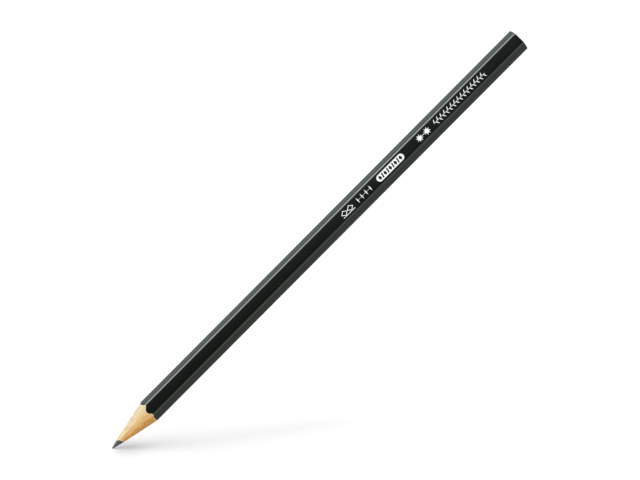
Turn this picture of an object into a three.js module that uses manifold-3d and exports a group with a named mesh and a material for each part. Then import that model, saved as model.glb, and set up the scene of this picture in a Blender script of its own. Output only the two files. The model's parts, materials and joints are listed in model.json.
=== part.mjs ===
// Graphite pencil: hexagonal, wood-cased, lacquered, sharpened to a point.
// It lies on one facet with its axis along X. The writing point is at -X and the cut tail at +X.
// Origin: on the resting plane, under the axis, at mid length. Millimetres, +Z up, front at -Y.
import * as THREE from "three";
import { mergeVertices } from "three/addons/utils/BufferGeometryUtils.js";
import Module from "manifold-3d";

// ---- driving dimensions ----
const LENGTH = 175; // worn writing tip to tail end
const ACROSS_FLATS = 6.9; // over the finished lacquer
const RIDGE_RADIUS = 1.6; // rounding of the six long edges, over the lacquer
const CONE_HALF_ANGLE = THREE.MathUtils.degToRad(12); // cut wood and paint
const POINT_HALF_ANGLE = THREE.MathUtils.degToRad(14); // bare core, worn a little blunter
const TIP_RADIUS = 0.25; // worn writing tip
const CORE_RADIUS = 1; // 2 mm graphite core
const LACQUER = 0.07; // black lacquer thickness
const GROUND = 0.03; // thickness of the pale ground coat under it
const GAP = 0.01; // clearance between neighbouring layers
const SLEEVE = 0.04; // glue sleeve round the core
const SEAM = 0.04; // glue line between the two slats
const FOIL = 0.02; // stamped foil thickness
const FOIL_LIFT = 0.005; // foil underside over the lacquer

// ---- mesh resolution ----
const RIDGE_STEPS = 8; // facets on each rounded ridge
const FLAT_STEPS = 8; // spans across each flat, so the scalloped edge is smooth
const CORE_STEPS = 60; // round the core and its sleeve
const TIP_STEPS = 5; // along the worn tip's arc
const CAPSULE_STEPS = 16; // round each end of the foil capsule
const LEAF_STEPS = 5; // along each foil leaf

// ---- derived places ----
const AXIS_Z = ACROSS_FLATS / 2;
const TAIL = LENGTH / 2;
const CONE_SLOPE = Math.tan(CONE_HALF_ANGLE); // radius gained per length
// Where the bare core would come to a point if its tip were not worn round.
const POINT_APEX = -TAIL - TIP_RADIUS * (1 / Math.sin(POINT_HALF_ANGLE) - 1);
// Both cones meet here, at the core's radius.
const CORE_SHOULDER = POINT_APEX + CORE_RADIUS / Math.tan(POINT_HALF_ANGLE);
// Where the cone of the wood would come to a point.
const CONE_APEX = CORE_SHOULDER - CORE_RADIUS / CONE_SLOPE;

// Layer boundaries: radii outward from the axis, insets inward from the lacquer's surface.
const SLEEVE_INNER = CORE_RADIUS + GAP;
const SLEEVE_OUTER = SLEEVE_INNER + SLEEVE;
const GROOVE_RADIUS = SLEEVE_OUTER + GAP;
const GROUND_INSET = LACQUER + GAP;
const WOOD_INSET = GROUND_INSET + GROUND + GAP;

// ---- materials ----
const material = (settings) => new THREE.MeshStandardMaterial(settings);
const graphite = material({ color: 0x4b4b4d, roughness: 0.45, metalness: 0.3 });
const wood = material({ color: 0xd9ab6c, roughness: 0.7 });
const glue = material({ color: 0xcbb690, roughness: 0.6 });
const groundPaint = material({ color: 0xb9b3a2, roughness: 0.6 });
const lacquer = material({ color: 0x161917, roughness: 0.18 });
const foil = material({ color: 0xe9ecea, roughness: 0.4 });

// ---- cross-sections: loops of stations {y, z} round the axis ----
// The rounded hexagon, drawn in by `inset`.
// The ridges stand at 0, 60, 120 ... degrees from +Y, so a flat lies at the bottom.
function hexagon(inset) {
  const radius = RIDGE_RADIUS - inset;
  // Axis to the centre of a ridge's arc.
  const centre = ((ACROSS_FLATS / 2 - inset - radius) * 2) / Math.sqrt(3);
  const onRidge = (ridge, angle) => ({
    y: centre * Math.cos(ridge) + radius * Math.cos(angle),
    z: centre * Math.sin(ridge) + radius * Math.sin(angle),
  });
  const loop = [];
  for (let k = 0; k < 6; k++) {
    const ridge = (k * Math.PI) / 3;
    for (let i = 0; i <= RIDGE_STEPS; i++) {
      const angle = ridge - Math.PI / 6 + (i / RIDGE_STEPS) * (Math.PI / 3);
      loop.push(onRidge(ridge, angle));
    }
    // Across the flat to the start of the next ridge.
    const start = loop.at(-1);
    const end = onRidge(ridge + Math.PI / 3, ridge + Math.PI / 6);
    for (let i = 1; i < FLAT_STEPS; i++) {
      const part = i / FLAT_STEPS;
      loop.push({
        y: start.y + (end.y - start.y) * part,
        z: start.z + (end.z - start.z) * part,
      });
    }
  }
  return loop;
}

// A circle with its stations evenly spaced.
const ring = (radius) =>
  Array.from({ length: CORE_STEPS }, (_, i) => {
    const angle = (i / CORE_STEPS) * 2 * Math.PI;
    return { y: radius * Math.cos(angle), z: radius * Math.sin(angle) };
  });

// A circle with its stations in line with those of another loop.
const ringInLine = (radius, loop) =>
  loop.map(({ y, z }) => {
    const scale = radius / Math.hypot(y, z);
    return { y: y * scale, z: z * scale };
  });

// ---- solids ----
const wasm = await Module();
wasm.setup();

// Turns a closed geometry into a manifold, facing outward. The geometry is used up.
function solid(geometry) {
  const bare = geometry.index ? geometry.toNonIndexed() : geometry;
  bare.deleteAttribute("normal");
  bare.deleteAttribute("uv");
  const merged = mergeVertices(bare, 1e-5);
  const make = (flip) => {
    const triVerts = new Uint32Array(merged.index.array);
    if (flip)
      for (let i = 0; i < triVerts.length; i += 3)
        [triVerts[i + 1], triVerts[i + 2]] = [triVerts[i + 2], triVerts[i + 1]];
    const vertProperties = new Float32Array(merged.attributes.position.array);
    return new wasm.Manifold(new wasm.Mesh({ numProp: 3, vertProperties, triVerts }));
  };
  const made = make(false);
  return made.volume() < 0 ? make(true) : made;
}

function geometryOf(manifold) {
  const { vertProperties, triVerts } = manifold.getMesh();
  const geometry = new THREE.BufferGeometry();
  const positions = new THREE.BufferAttribute(new Float32Array(vertProperties), 3);
  geometry.setAttribute("position", positions);
  geometry.setIndex(new THREE.BufferAttribute(new Uint32Array(triVerts), 1));
  geometry.computeVertexNormals();
  return geometry;
}

// A lathe body whose stations are moved onto the given loops of {x, y, z}, all of one length.
// Together the loops run once round the wall's outline.
function sweep(loops) {
  const count = loops[0].length;
  const rows = loops.length + 1; // the first loop comes again to close the outline
  const outline = Array.from(
    { length: rows },
    (_, j) => new THREE.Vector2(1, j % loops.length),
  );
  const geometry = new THREE.LatheGeometry(outline, count);
  const position = geometry.getAttribute("position");
  for (let i = 0; i <= count; i++)
    for (let j = 0; j < rows; j++) {
      const { x, y, z } = loops[j % loops.length][i % count];
      position.setXYZ(i * rows + j, x, y, z + AXIS_Z);
    }
  return solid(geometry);
}

// A tube between two sections, cut by the sharpener's cone at the point and square at the tail.
function casing(outer, inner) {
  const onCone = ({ y, z }) => ({ x: CONE_APEX + Math.hypot(y, z) / CONE_SLOPE, y, z });
  const atTail = ({ y, z }) => ({ x: TAIL, y, z });
  return sweep([inner.map(onCone), outer.map(onCone), outer.map(atTail), inner.map(atTail)]);
}

const pencil = new THREE.Group();

function add(name, manifold, finish, parent = pencil) {
  const mesh = new THREE.Mesh(geometryOf(manifold), finish);
  mesh.name = name;
  parent.add(mesh);
}

// ---- core: a rod with its sharpened, slightly worn point ----
function core() {
  const arcEnd = Math.PI / 2 - POINT_HALF_ANGLE; // where the round tip meets the core's cone
  const profile = []; // (radius, place along the axis)
  for (let i = 0; i <= TIP_STEPS; i++) {
    const angle = (i / TIP_STEPS) * arcEnd;
    const along = -TAIL + TIP_RADIUS - TIP_RADIUS * Math.cos(angle);
    profile.push(new THREE.Vector2(TIP_RADIUS * Math.sin(angle), along));
  }
  profile.push(
    new THREE.Vector2(CORE_RADIUS, CORE_SHOULDER),
    new THREE.Vector2(CORE_RADIUS, TAIL),
    new THREE.Vector2(0, TAIL),
  );
  const rod = new THREE.LatheGeometry(profile, CORE_STEPS);
  rod.rotateZ(-Math.PI / 2); // axis from Y to X
  rod.translate(0, 0, AXIS_Z);
  return solid(rod);
}
add("graphite_core", core(), graphite);

// Glue sleeve that bonds the core into the grooves.
add("core_glue_sleeve", casing(ring(SLEEVE_OUTER), ring(SLEEVE_INNER)), glue);

// ---- wood: one hexagonal tube, split along the plane of its two side ridges ----
function addWood() {
  // Limits of the cutting boxes, all clear of the wood.
  const endX = TAIL + 5;
  const side = 9;
  const top = 9;
  const bottom = -2;

  const section = hexagon(WOOD_INSET);
  const tube = casing(section, ringInLine(GROOVE_RADIUS, section));
  const slice = (y0, y1, z0, z1) => {
    const cutter = new THREE.BoxGeometry(2 * endX, y1 - y0, z1 - z0);
    cutter.translate(0, (y0 + y1) / 2, (z0 + z1) / 2);
    return tube.intersect(solid(cutter));
  };

  const seamTop = AXIS_Z + SEAM / 2;
  const seamBottom = AXIS_Z - SEAM / 2;
  add("upper_wood_slat", slice(-side, side, seamTop + GAP, top), wood);
  add("lower_wood_slat", slice(-side, side, bottom, seamBottom - GAP), wood);
  add("front_glue_seam", slice(-side, 0, seamBottom, seamTop), glue);
  add("rear_glue_seam", slice(0, side, seamBottom, seamTop), glue);
}
addWood();

// ---- paint: the sharpener's cone leaves both layers a scalloped edge ----
const coat = (inset, thickness) => casing(hexagon(inset), hexagon(inset + thickness));
add("ground_coat", coat(GROUND_INSET, GROUND), groundPaint);
add("black_lacquer", coat(0, LACQUER), lacquer);

// ---- stamped foil marks, plain ornaments on the upper front facet ----
// Each is a thin plate drawn in the facet's plane: u along the pencil, v up the facet.
const facet = new THREE.Group();
facet.position.set(0, 0, AXIS_Z);
facet.rotation.x = Math.PI / 3; // the facet's outward normal points to -Y and up at 30 degrees
pencil.add(facet);

function plate(points, depth = FOIL, lift = 0) {
  const shape = new THREE.Shape(points.map(([u, v]) => new THREE.Vector2(u, v)));
  const geometry = new THREE.ExtrudeGeometry(shape, { depth, bevelEnabled: false });
  return solid(geometry.translate(0, 0, ACROSS_FLATS / 2 + FOIL_LIFT + lift));
}

// A mark is the union of some outlines, less some windows.
function stamp(name, outlines, windows = []) {
  let mark = outlines.map((outline) => plate(outline)).reduce((a, b) => a.add(b));
  // Window cutters stand out past both faces of the foil.
  for (const window of windows) mark = mark.subtract(plate(window, FOIL * 3, -FOIL));
  add(name, mark, foil, facet);
}

const bar = (u0, u1, v0, v1) => [
  [u0, v0],
  [u1, v0],
  [u1, v1],
  [u0, v1],
];

// A lozenge centred on v = `v`, given its half length and half height.
const lozenge = (u, v, halfU, halfV) => [
  [u - halfU, v],
  [u, v - halfV],
  [u + halfU, v],
  [u, v + halfV],
];

// Two small open lozenges standing over a rule.
function stampLozengePair() {
  const middle = 13.4;
  const offset = 1.2; // middle to each lozenge's centre
  const centreV = 0.08;
  const ruleHalf = 2.42; // half length of the rule
  const centres = [middle - offset, middle + offset];
  stamp(
    "foil_lozenge_pair",
    [
      ...centres.map((u) => lozenge(u, centreV, 1.24, 0.94)),
      bar(middle - ruleHalf, middle + ruleHalf, -1.02, -0.84),
    ],
    centres.map((u) => lozenge(u, centreV, 0.92, 0.7)),
  );
}

// Row of four upright lozenges on a thread.
function stampLozengeRow() {
  const first = 17.85;
  const pitch = 1.78;
  const threadHalf = 0.035; // half width of the thread
  const centres = [0, 1, 2, 3].map((i) => first + i * pitch);
  stamp("foil_lozenge_row", [
    bar(first, centres.at(-1), -threadHalf, threadHalf),
    ...centres.map((u) => lozenge(u, 0, 0.2, 1.04)),
  ]);
}

// Capsule with a row of windows, lozenge and slanted by turns.
function stampCapsule() {
  const middle = 31.85;
  const length = 11.1;
  const endRadius = 1.06;
  const pitch = 1.08; // between windows
  const outline = [];
  for (const side of [1, -1]) {
    const centre = middle + side * (length / 2 - endRadius);
    for (let i = 0; i <= CAPSULE_STEPS; i++) {
      const angle = (-side * Math.PI) / 2 + (Math.PI * i) / CAPSULE_STEPS;
      outline.push([centre + endRadius * Math.cos(angle), endRadius * Math.sin(angle)]);
    }
  }
  const slanted = (u) => [
    [u - 0.41, -0.77],
    [u + 0.07, -0.77],
    [u + 0.41, 0.77],
    [u - 0.07, 0.77],
  ];
  const windows = [];
  for (let i = -4; i <= 4; i++) {
    const u = middle + i * pitch;
    windows.push(i % 2 === 0 ? lozenge(u, 0, 0.55, 0.84) : slanted(u));
  }
  stamp("foil_capsule", [outline], windows);
}

// Two eight-rayed stars joined by a short bar.
function stampStarPair() {
  const middle = 46.05;
  const offset = 1.55; // middle to each star's centre
  const rayRadius = 1.26;
  const notchRadius = 0.55;
  const barHalf = 0.06; // half width of the bar
  const star = (centre) =>
    Array.from({ length: 16 }, (_, i) => {
      const angle = ((i + 1) * Math.PI) / 8;
      const radius = i % 2 === 0 ? rayRadius : notchRadius;
      return [centre + radius * Math.cos(angle), radius * Math.sin(angle)];
    });
  stamp("foil_star_pair", [
    star(middle - offset),
    star(middle + offset),
    bar(middle - offset, middle + offset, -barHalf, barHalf),
  ]);
}

// Leaf band: slanted leaves that leave a thin stem by turns above and below.
function stampLeafBand() {
  const start = 50.7;
  const end = 72.4;
  const margin = 0.05; // stem left bare at each end
  const stemHalf = 0.055; // half width of the stem
  const leaves = 30;
  const rise = 1.08; // stem to leaf tip, across the facet
  const run = 0.62; // and along it
  const leafHalf = 0.145; // half the leaf's greatest width
  const bellySkew = 0.85; // below 1 moves the widest place toward the stem
  const rootBack = 0.04; // how far the leaf's root starts behind its place

  // side is 1 for a leaf above the stem, -1 for one below.
  const leaf = (root, side) => {
    const size = Math.hypot(run, rise);
    const alongU = run / size;
    const alongV = (side * rise) / size;
    const edge = (hand) =>
      Array.from({ length: LEAF_STEPS - 1 }, (_, i) => {
        const part = (i + 1) / LEAF_STEPS;
        const width = hand * leafHalf * Math.sin(Math.PI * part ** bellySkew);
        return [
          root + alongU * size * part - alongV * width,
          alongV * size * part + alongU * width,
        ];
      });
    const points = [
      [root - rootBack, 0],
      ...edge(-side),
      [root + run, side * rise],
      ...edge(side).reverse(),
    ];
    return side > 0 ? points : points.reverse();
  };

  const outlines = [bar(start, end, -stemHalf, stemHalf)];
  const span = end - start - run - 2 * margin; // first root to last
  for (let i = 0; i < leaves; i++) {
    const root = start + margin + (span * i) / (leaves - 1);
    outlines.push(leaf(root, i % 2 === 0 ? 1 : -1));
  }
  stamp("foil_leaf_band", outlines);
}

stampLozengePair();
stampLozengeRow();
stampCapsule();
stampStarPair();
stampLeafBand();

export default pencil;
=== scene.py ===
# A sharpened hexagonal graphite pencil: black lacquer over a pale ground coat, a casing of two
# wooden halves glued round the core, and white foil marks stamped on the upper front facet.
# It lies along X at y = 0, its point towards -X and its tail towards +X. -Y is the front, +Z is up.
# Two facets face straight up and down, and two ridges point to +Y and -Y.
# Sizes are in millimetres and become metres when a mesh is made.
# phi is the polar angle round the axis from +Y towards +Z, and rho the distance from the axis.
import json
import math

import bpy
import numpy as np
from mathutils import Matrix, Vector
from mathutils.geometry import delaunay_2d_cdt

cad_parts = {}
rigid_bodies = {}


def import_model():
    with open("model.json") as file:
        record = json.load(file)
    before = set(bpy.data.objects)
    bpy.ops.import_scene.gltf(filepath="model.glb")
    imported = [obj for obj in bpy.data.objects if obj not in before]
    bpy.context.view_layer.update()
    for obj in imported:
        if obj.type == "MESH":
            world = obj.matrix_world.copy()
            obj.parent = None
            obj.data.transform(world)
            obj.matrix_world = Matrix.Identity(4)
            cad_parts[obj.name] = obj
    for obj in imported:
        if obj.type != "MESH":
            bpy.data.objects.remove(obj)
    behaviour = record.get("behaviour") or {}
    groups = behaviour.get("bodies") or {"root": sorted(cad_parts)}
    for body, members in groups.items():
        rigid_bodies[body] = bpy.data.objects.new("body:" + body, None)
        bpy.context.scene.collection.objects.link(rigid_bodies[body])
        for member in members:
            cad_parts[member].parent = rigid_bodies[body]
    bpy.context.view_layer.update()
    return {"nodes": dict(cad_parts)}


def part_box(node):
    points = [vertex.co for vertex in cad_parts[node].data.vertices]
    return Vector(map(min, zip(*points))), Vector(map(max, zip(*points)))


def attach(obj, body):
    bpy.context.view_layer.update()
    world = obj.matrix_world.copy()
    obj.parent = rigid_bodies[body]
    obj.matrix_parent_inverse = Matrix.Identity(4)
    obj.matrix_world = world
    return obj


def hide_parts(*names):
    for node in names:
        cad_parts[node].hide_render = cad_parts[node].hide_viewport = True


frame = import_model()
MM = 0.001
TURN = 2 * math.pi

# ---- sizes read from the frame ----
body_lo, body_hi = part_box("black_lacquer")
core_lo, core_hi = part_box("graphite_core")
sleeve_lo, sleeve_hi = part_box("core_glue_sleeve")
slat_lo, slat_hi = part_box("upper_wood_slat")
TIP = core_lo.x / MM
TAIL = body_hi.x / MM
AXIS_Z = (body_lo.z + body_hi.z) / 2 / MM
FLATS = (body_hi.z - body_lo.z) / MM  # across two opposite facets
CORE_R = (core_hi.y - core_lo.y) / 2 / MM
SLEEVE_R = (sleeve_hi.y - sleeve_lo.y) / 2 / MM
WOOD_INSET = (body_hi.z - slat_hi.z) / MM  # from the lacquer's face in to the wood's
SLAT_Z = slat_lo.z / MM - AXIS_Z  # height of a wooden half's seam face from the axis

# ---- hexagonal body ----
RIDGE_R = 1.6
LACQUER = 0.095  # thickness
GROUND = 0.02  # thickness
GROUND_GAP = 0.002  # between the wood and the ground coat
CROWN = 0.016  # how far a facet falls away from its middle to its edges
CROWN_POWER = 2.2
HALF_FLAT = (FLATS / 2 - RIDGE_R) / math.sqrt(3)  # half the width of a facet's flat
BORE_GAP = 0.01  # from the nominal glue sleeve out to the wood
ARC_STEPS, FLAT_STEPS = 16, 30  # stations round each ridge and across each facet

# ---- sharpened point ----
ALPHA = math.radians(12.0)  # half angle of the cut wood
POINT = math.radians(14.0)  # half angle of the bare core
TIP_R = 0.25
TAN = math.tan(ALPHA)
APEX = TIP - TIP_R * (1 / math.sin(POINT) - 1) + CORE_R / math.tan(POINT) - CORE_R / TAN
CORE_MEET = APEX + CORE_R / TAN  # where the wood's cone comes down to the core's radius
# The core sits a little off the axis, and the sharpened cone is a little off it too.
CORE_OFF = 0.18
CORE_DIR = math.radians(244.0)  # towards the front and below
CONE_OFF = 0.055
CONE_AT = np.array([CONE_OFF * math.cos(CORE_DIR), CONE_OFF * math.sin(CORE_DIR)])

# ---- worn edge of the paint ----
# Facets in order of phi: upper back, top, upper front, lower front, bottom, lower back.
# How far the lacquer's cut edge is worn back at the middle of each facet.
LOBE_CUT = np.array([0.55, 1.00, 0.24, 1.40, 0.60, 0.75])
# How much of that wear the ground coat has too.
GROUND_CUT = np.array([0.84, 0.84, 0.80, 0.95, 0.84, 0.84])
# Extra wear round the lower front ridge.
RIDGE_WEAR = 0.38
RIDGE_WEAR_AT = math.radians(238)
RIDGE_WEAR_WIDTH = math.radians(24)


# ---- seeded value noise ----
LATTICE = np.random.default_rng(20).random((64, 64, 64)) * 2 - 1


def vnoise(x, y, z):
    """Smooth noise from -1 to 1 on a repeating lattice."""
    point = np.broadcast_arrays(*(np.asarray(axis, float) for axis in (x, y, z)))
    cells = [np.floor(axis).astype(int) for axis in point]
    shares = [axis - cell for axis, cell in zip(point, cells)]
    shares = [share * share * (3 - 2 * share) for share in shares]
    total = 0
    for corner in np.ndindex(2, 2, 2):
        weight = 1
        for step, share in zip(corner, shares):
            weight = weight * (share if step else 1 - share)
        i, j, k = ((cell + step) % 64 for cell, step in zip(cells, corner))
        total = total + weight * LATTICE[i, j, k]
    return total


def around(phi, scale, seed, z=0.0):
    """Noise that closes on itself round the axis."""
    return vnoise(
        np.cos(phi) * scale + 11.3 * seed, np.sin(phi) * scale + 5.7 * seed, z + seed
    )


# ---- section and cone ----
def section(inset):
    """y, z of each station of the rounded hexagon drawn in by inset, its facets crowned."""
    apothem, radius = FLATS / 2 - inset, RIDGE_R - inset
    corner = (apothem - radius) * 2 / math.sqrt(3)  # axis to the centre of a ridge's arc
    half = corner / 2
    points = []
    for k in range(6):
        ridge = k * math.pi / 3
        for i in range(ARC_STEPS):
            angle = ridge - math.pi / 6 + i / ARC_STEPS * math.pi / 3
            bend = radius - CROWN
            points.append(
                (
                    corner * math.cos(ridge) + bend * math.cos(angle),
                    corner * math.sin(ridge) + bend * math.sin(angle),
                )
            )
        normal = ridge + math.pi / 6
        for i in range(FLAT_STEPS):
            across = half * (2 * (i / FLAT_STEPS) - 1)
            out = apothem - CROWN * (abs(across) / half) ** CROWN_POWER
            points.append(
                (
                    out * math.cos(normal) - across * math.sin(normal),
                    out * math.sin(normal) + across * math.cos(normal),
                )
            )
    return np.array(points)


def polar(points):
    return np.arctan2(points[:, 1], points[:, 0]), np.hypot(*points.T)


def cone_x(rho, phi):
    """x of the sharpened cone's surface."""
    away = rho**2 - 2 * rho * CONE_OFF * np.cos(phi - CORE_DIR) + CONE_OFF**2
    return APEX + np.sqrt(away) / TAN


def core_radius(phi, radius):
    """rho of a circle of this radius round the core's own centre."""
    turned = phi - CORE_DIR
    return CORE_OFF * np.cos(turned) + np.sqrt(radius**2 - (CORE_OFF * np.sin(turned)) ** 2)


def jag(phi):
    """How the cut wood edge wanders round the core."""
    coarse = around(phi, scale=5.0, seed=3)
    fine = around(phi, scale=16.0, seed=4)
    return 0.024 * coarse + 0.016 * fine - 0.012


# ---- mesh helpers ----
def ring_at(x, points):
    """Places y, z points at x, their origin on the pencil's axis."""
    x = np.broadcast_to(x, (len(points),))
    return np.column_stack([x, points[:, 0], points[:, 1] + AXIS_Z])


def finish_mesh(name, verts, faces, sharp=35.0):
    """A smooth object with sharp edges above the angle given in degrees."""
    mesh = bpy.data.meshes.new(name)
    mesh.from_pydata((np.asarray(verts) * MM).tolist(), [], [list(map(int, f)) for f in faces])
    mesh.validate(clean_customdata=False)
    mesh.update()
    mesh.polygons.foreach_set("use_smooth", [True] * len(mesh.polygons))
    mesh.set_sharp_from_angle(angle=math.radians(sharp))
    obj = bpy.data.objects.new(name, mesh)
    bpy.context.scene.collection.objects.link(obj)
    return obj


def outward(verts, faces):
    """Turns the faces round if the closed mesh is inside out."""
    verts = np.asarray(verts)
    triangles = []
    for size in (3, 4):
        same = np.array([face for face in faces if len(face) == size], int).reshape(-1, size)
        for i in range(1, size - 1):
            triangles.append(same[:, [0, i, i + 1]])
    first, second, third = (verts[ids] for ids in np.vstack(triangles).T)
    volume = (first * np.cross(second, third)).sum()
    return faces if volume > 0 else [face[::-1] for face in faces]


def bands(count, pairs):
    """Quads between pairs of rings, each ring given by its place in the list."""
    faces = []
    for one, other in pairs:
        start, end = one * count, other * count
        for i in range(count):
            j = (i + 1) % count
            faces.append((start + i, start + j, end + j, end + i))
    return faces


def torus(rings):
    """A closed tube through rings of equal length, whose last ring joins the first."""
    total = len(rings)
    verts = np.vstack(rings)
    faces = bands(len(rings[0]), [(j, (j + 1) % total) for j in range(total)])
    return verts, outward(verts, faces)


def capped(rings, first, last):
    """Rings closed by a pole point at each end."""
    count, total = len(rings[0]), len(rings)
    verts = np.vstack([*rings, [first], [last]])
    faces = bands(count, [(j, j + 1) for j in range(total - 1)])
    first_pole, last_pole = total * count, total * count + 1
    end = (total - 1) * count
    for i in range(count):
        j = (i + 1) % count
        faces.append((j, i, first_pole))
        faces.append((end + i, end + j, last_pole))
    return verts, outward(verts, faces)


def block(grid):
    """The closed boundary of a structured block of points, grid[i, j, k] = (x, y, z)."""
    on_skin = np.ones(grid.shape[:3], bool)
    on_skin[1:-1, 1:-1, 1:-1] = False
    index = -np.ones(grid.shape[:3], int)
    index[on_skin] = np.arange(on_skin.sum())
    verts = grid[on_skin]
    faces = []
    for sheet, flip in (
        (index[:, :, 0], True),
        (index[:, :, -1], False),
        (index[:, 0, :], False),
        (index[:, -1, :], True),
        (index[0], True),
        (index[-1], False),
    ):
        corners = [sheet[:-1, :-1], sheet[1:, :-1], sheet[1:, 1:], sheet[:-1, 1:]]
        quads = np.stack(corners, -1).reshape(-1, 4)
        faces.extend((quads[:, ::-1] if flip else quads).tolist())
    return verts, outward(verts, faces)


# ---- lacquer and ground coat ----
def facet_of(phi):
    return np.floor((phi % TURN) / (math.pi / 3)).astype(int) % 6


def lobe_cut(phi):
    """Wear of each facet, full at its middle and none at its ridges."""
    lobe = 0.5 - 0.5 * np.cos(6 * phi)
    return LOBE_CUT[facet_of(phi)] * lobe**1.1


def lower_wear(phi):
    away = (phi % TURN) - RIDGE_WEAR_AT
    return RIDGE_WEAR * np.exp(-((away / RIDGE_WEAR_WIDTH) ** 2))


def lacquer_recede(phi):
    chips = 0.05 * around(phi, scale=9.0, seed=1) + 0.04 * around(phi, scale=26.0, seed=2)
    return lobe_cut(phi) + np.maximum(chips, -0.02) + 0.015 + lower_wear(phi)


def ground_recede(phi):
    ragged = 0.02 * (around(phi, scale=12.0, seed=7) + 0.6)
    return GROUND_CUT[facet_of(phi)] * lobe_cut(phi) + ragged + 0.95 * lower_wear(phi)


def wave(x, phi):
    """Very slow unevenness of the dipped lacquer."""
    slow = around(phi, scale=2.2, seed=5, z=np.asarray(x) * 0.11)
    quick = around(phi, scale=5.0, seed=6, z=np.asarray(x) * 0.35)
    return 0.0016 * slow + 0.0009 * quick - 0.0012


def even(x, phi):
    return np.zeros_like(phi)


def coat(name, outer_inset, inner_inset, recede, swell, end_gap, count, rim):
    """A hexagonal shell from the worn edge at the cone back to the tail.

    count rings lead up to end_gap before the tail, and rim rounds the tail's edge
    with (distance before the tail, drop towards the axis).
    """
    outer, inner = section(outer_inset), section(inner_inset)
    phi, outer_rho = polar(outer)
    inner_rho = polar(inner)[1]
    normal = outer / outer_rho[:, None]
    worn = recede(phi)
    x_in = cone_x(inner_rho, phi) + worn * 0.75
    x_out = cone_x(outer_rho, phi) + worn
    rings = [ring_at(x_in, inner)]
    # the cut edge is a little rounded: (share along, share outwards)
    for along, out in ((0.35, 0.45), (0.7, 0.92)):
        rings.append(ring_at(x_in + (x_out - x_in) * along, inner + (outer - inner) * out))
    common = cone_x(outer_rho, phi).max() + 1.2  # where the rings become flat
    for share in (0.0, 0.03, 0.08, 0.16, 0.27, 0.4, 0.55, 0.7, 0.85):
        x = x_out + (common - x_out) * share
        lift = swell(x, phi) * min(1.0, share * 4) - 0.012 * math.exp(-share * 30)
        rings.append(ring_at(x, outer + normal * lift[:, None]))
    for x in np.linspace(common, TAIL - end_gap, count):
        lift = swell(x, phi) * min(1.0, TAIL - x)
        rings.append(ring_at(x, outer + normal * lift[:, None]))
    for before, drop in rim:
        rings.append(ring_at(TAIL - before, outer - normal * drop))
    for x in np.linspace(TAIL, common, 5)[:-1]:
        rings.append(ring_at(x, inner))
    rings.append(ring_at(x_in + 0.5, inner))
    return finish_mesh(name, *torus(rings))


lacquer_obj = coat(
    "lacquer_coat",
    outer_inset=0.0,
    inner_inset=LACQUER,
    recede=lacquer_recede,
    swell=wave,
    end_gap=0.25,
    count=150,
    rim=[(0.16, 0.0), (0.09, 0.003), (0.045, 0.012), (0.015, 0.030)],
)
ground_obj = coat(
    "ground_coat_layer",
    outer_inset=WOOD_INSET - GROUND_GAP - GROUND,
    inner_inset=WOOD_INSET - GROUND_GAP,
    recede=ground_recede,
    swell=even,
    end_gap=0.2,
    count=12,
    rim=[(0.012, 0.0)],
)


# ---- wooden halves of the casing ----
SLAT_ROUND, SLAT_OUT = 169, 96  # grid points round the axis and from the bore outwards
# Grid planes from the cone to the tail, as shares of that length.
SLAT_DEPTHS = np.concatenate([[0, 0.002, 0.006, 0.015, 0.035], np.linspace(0.07, 1, 10)])


def cone_grain(rho, phi, x, out, side):
    """Height of the fibres and faint turning marks on the cut cone."""
    arc = rho * phi
    fibre = vnoise(arc * 5.5 + 40, x * 0.35 + 9 * out, rho * 5.5 + side * 3)
    fine = vnoise(arc * 13 + 10, x * 0.8, rho * 13 + side * 7)
    turning = np.sin(TURN * (x * 1.55 + phi / TURN * 2)) * vnoise(arc * 0.7, x * 1.3, 3.3)
    return 0.0065 * fibre + 0.0035 * fine + 0.0025 * turning


def tail_hollow(y, z):
    """Depth of the speckle and ripples on the tail's end face."""
    speckle = 0.006 * (1 + vnoise(y * 6, z * 6, 1.7))
    ripple = 0.010 * (1 + np.sin(TURN * (y * 0.9 + z * 0.35)))
    return speckle + ripple * (0.5 + 0.5 * vnoise(y * 0.8, z * 0.8, 8.1))


def casing_half(name, side):
    """side +1 is the upper half, -1 the lower."""
    wood_phi, wood_rho = polar(section(WOOD_INSET))

    def radii(phi, out):
        bore = core_radius(phi, SLEEVE_R + BORE_GAP)
        return bore + (np.interp(phi, wood_phi, wood_rho, period=TURN) - bore) * out

    share = np.linspace(0, 1, SLAT_ROUND)
    seam_fade = np.minimum(1, share * 60) * np.minimum(1, (1 - share) * 60)
    grid = np.zeros((SLAT_ROUND, SLAT_OUT, len(SLAT_DEPTHS), 3))
    for j, out in enumerate(np.linspace(0, 1, SLAT_OUT)):
        # the seam faces are planes, so the end stations' angles depend on the radius
        rho = radii(side * (share * math.pi), out)
        seam = np.arcsin(np.clip(SLAT_Z / rho, -1, 1))
        phi = side * (seam[0] + share * (math.pi - seam[0] - seam[-1]))
        rho_plain = radii(phi, out)
        rho_front = rho_plain + jag(phi) * (1 - out) ** 3
        x_front = cone_x(rho_front, phi)
        outer_fade = min(1.0, (1 - out) * 14)
        grain = cone_grain(rho_front, phi, x_front, out, side)
        grain = grain * (seam_fade * min(1.0, out * 12) * outer_fade)
        for k, depth in enumerate(SLAT_DEPTHS):
            plain = min(1, depth * 20)
            rho = rho_front * (1 - plain) + rho_plain * plain
            x = x_front + (TAIL - x_front) * depth
            if k == 0:
                x = x - grain * math.sin(ALPHA)
                rho = rho + grain * math.cos(ALPHA)
            y, z = rho * np.cos(phi), rho * np.sin(phi)
            if k == len(SLAT_DEPTHS) - 1:
                x = x - tail_hollow(y, z) * outer_fade * min(1.0, out * 14)
            grid[:, j, k] = np.column_stack([x, y, z + AXIS_Z])
            if k > 0:  # keep the seam faces flat
                grid[[0, -1], j, k, 2] = AXIS_Z + side * SLAT_Z
    return finish_mesh(name, *block(grid))


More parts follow.
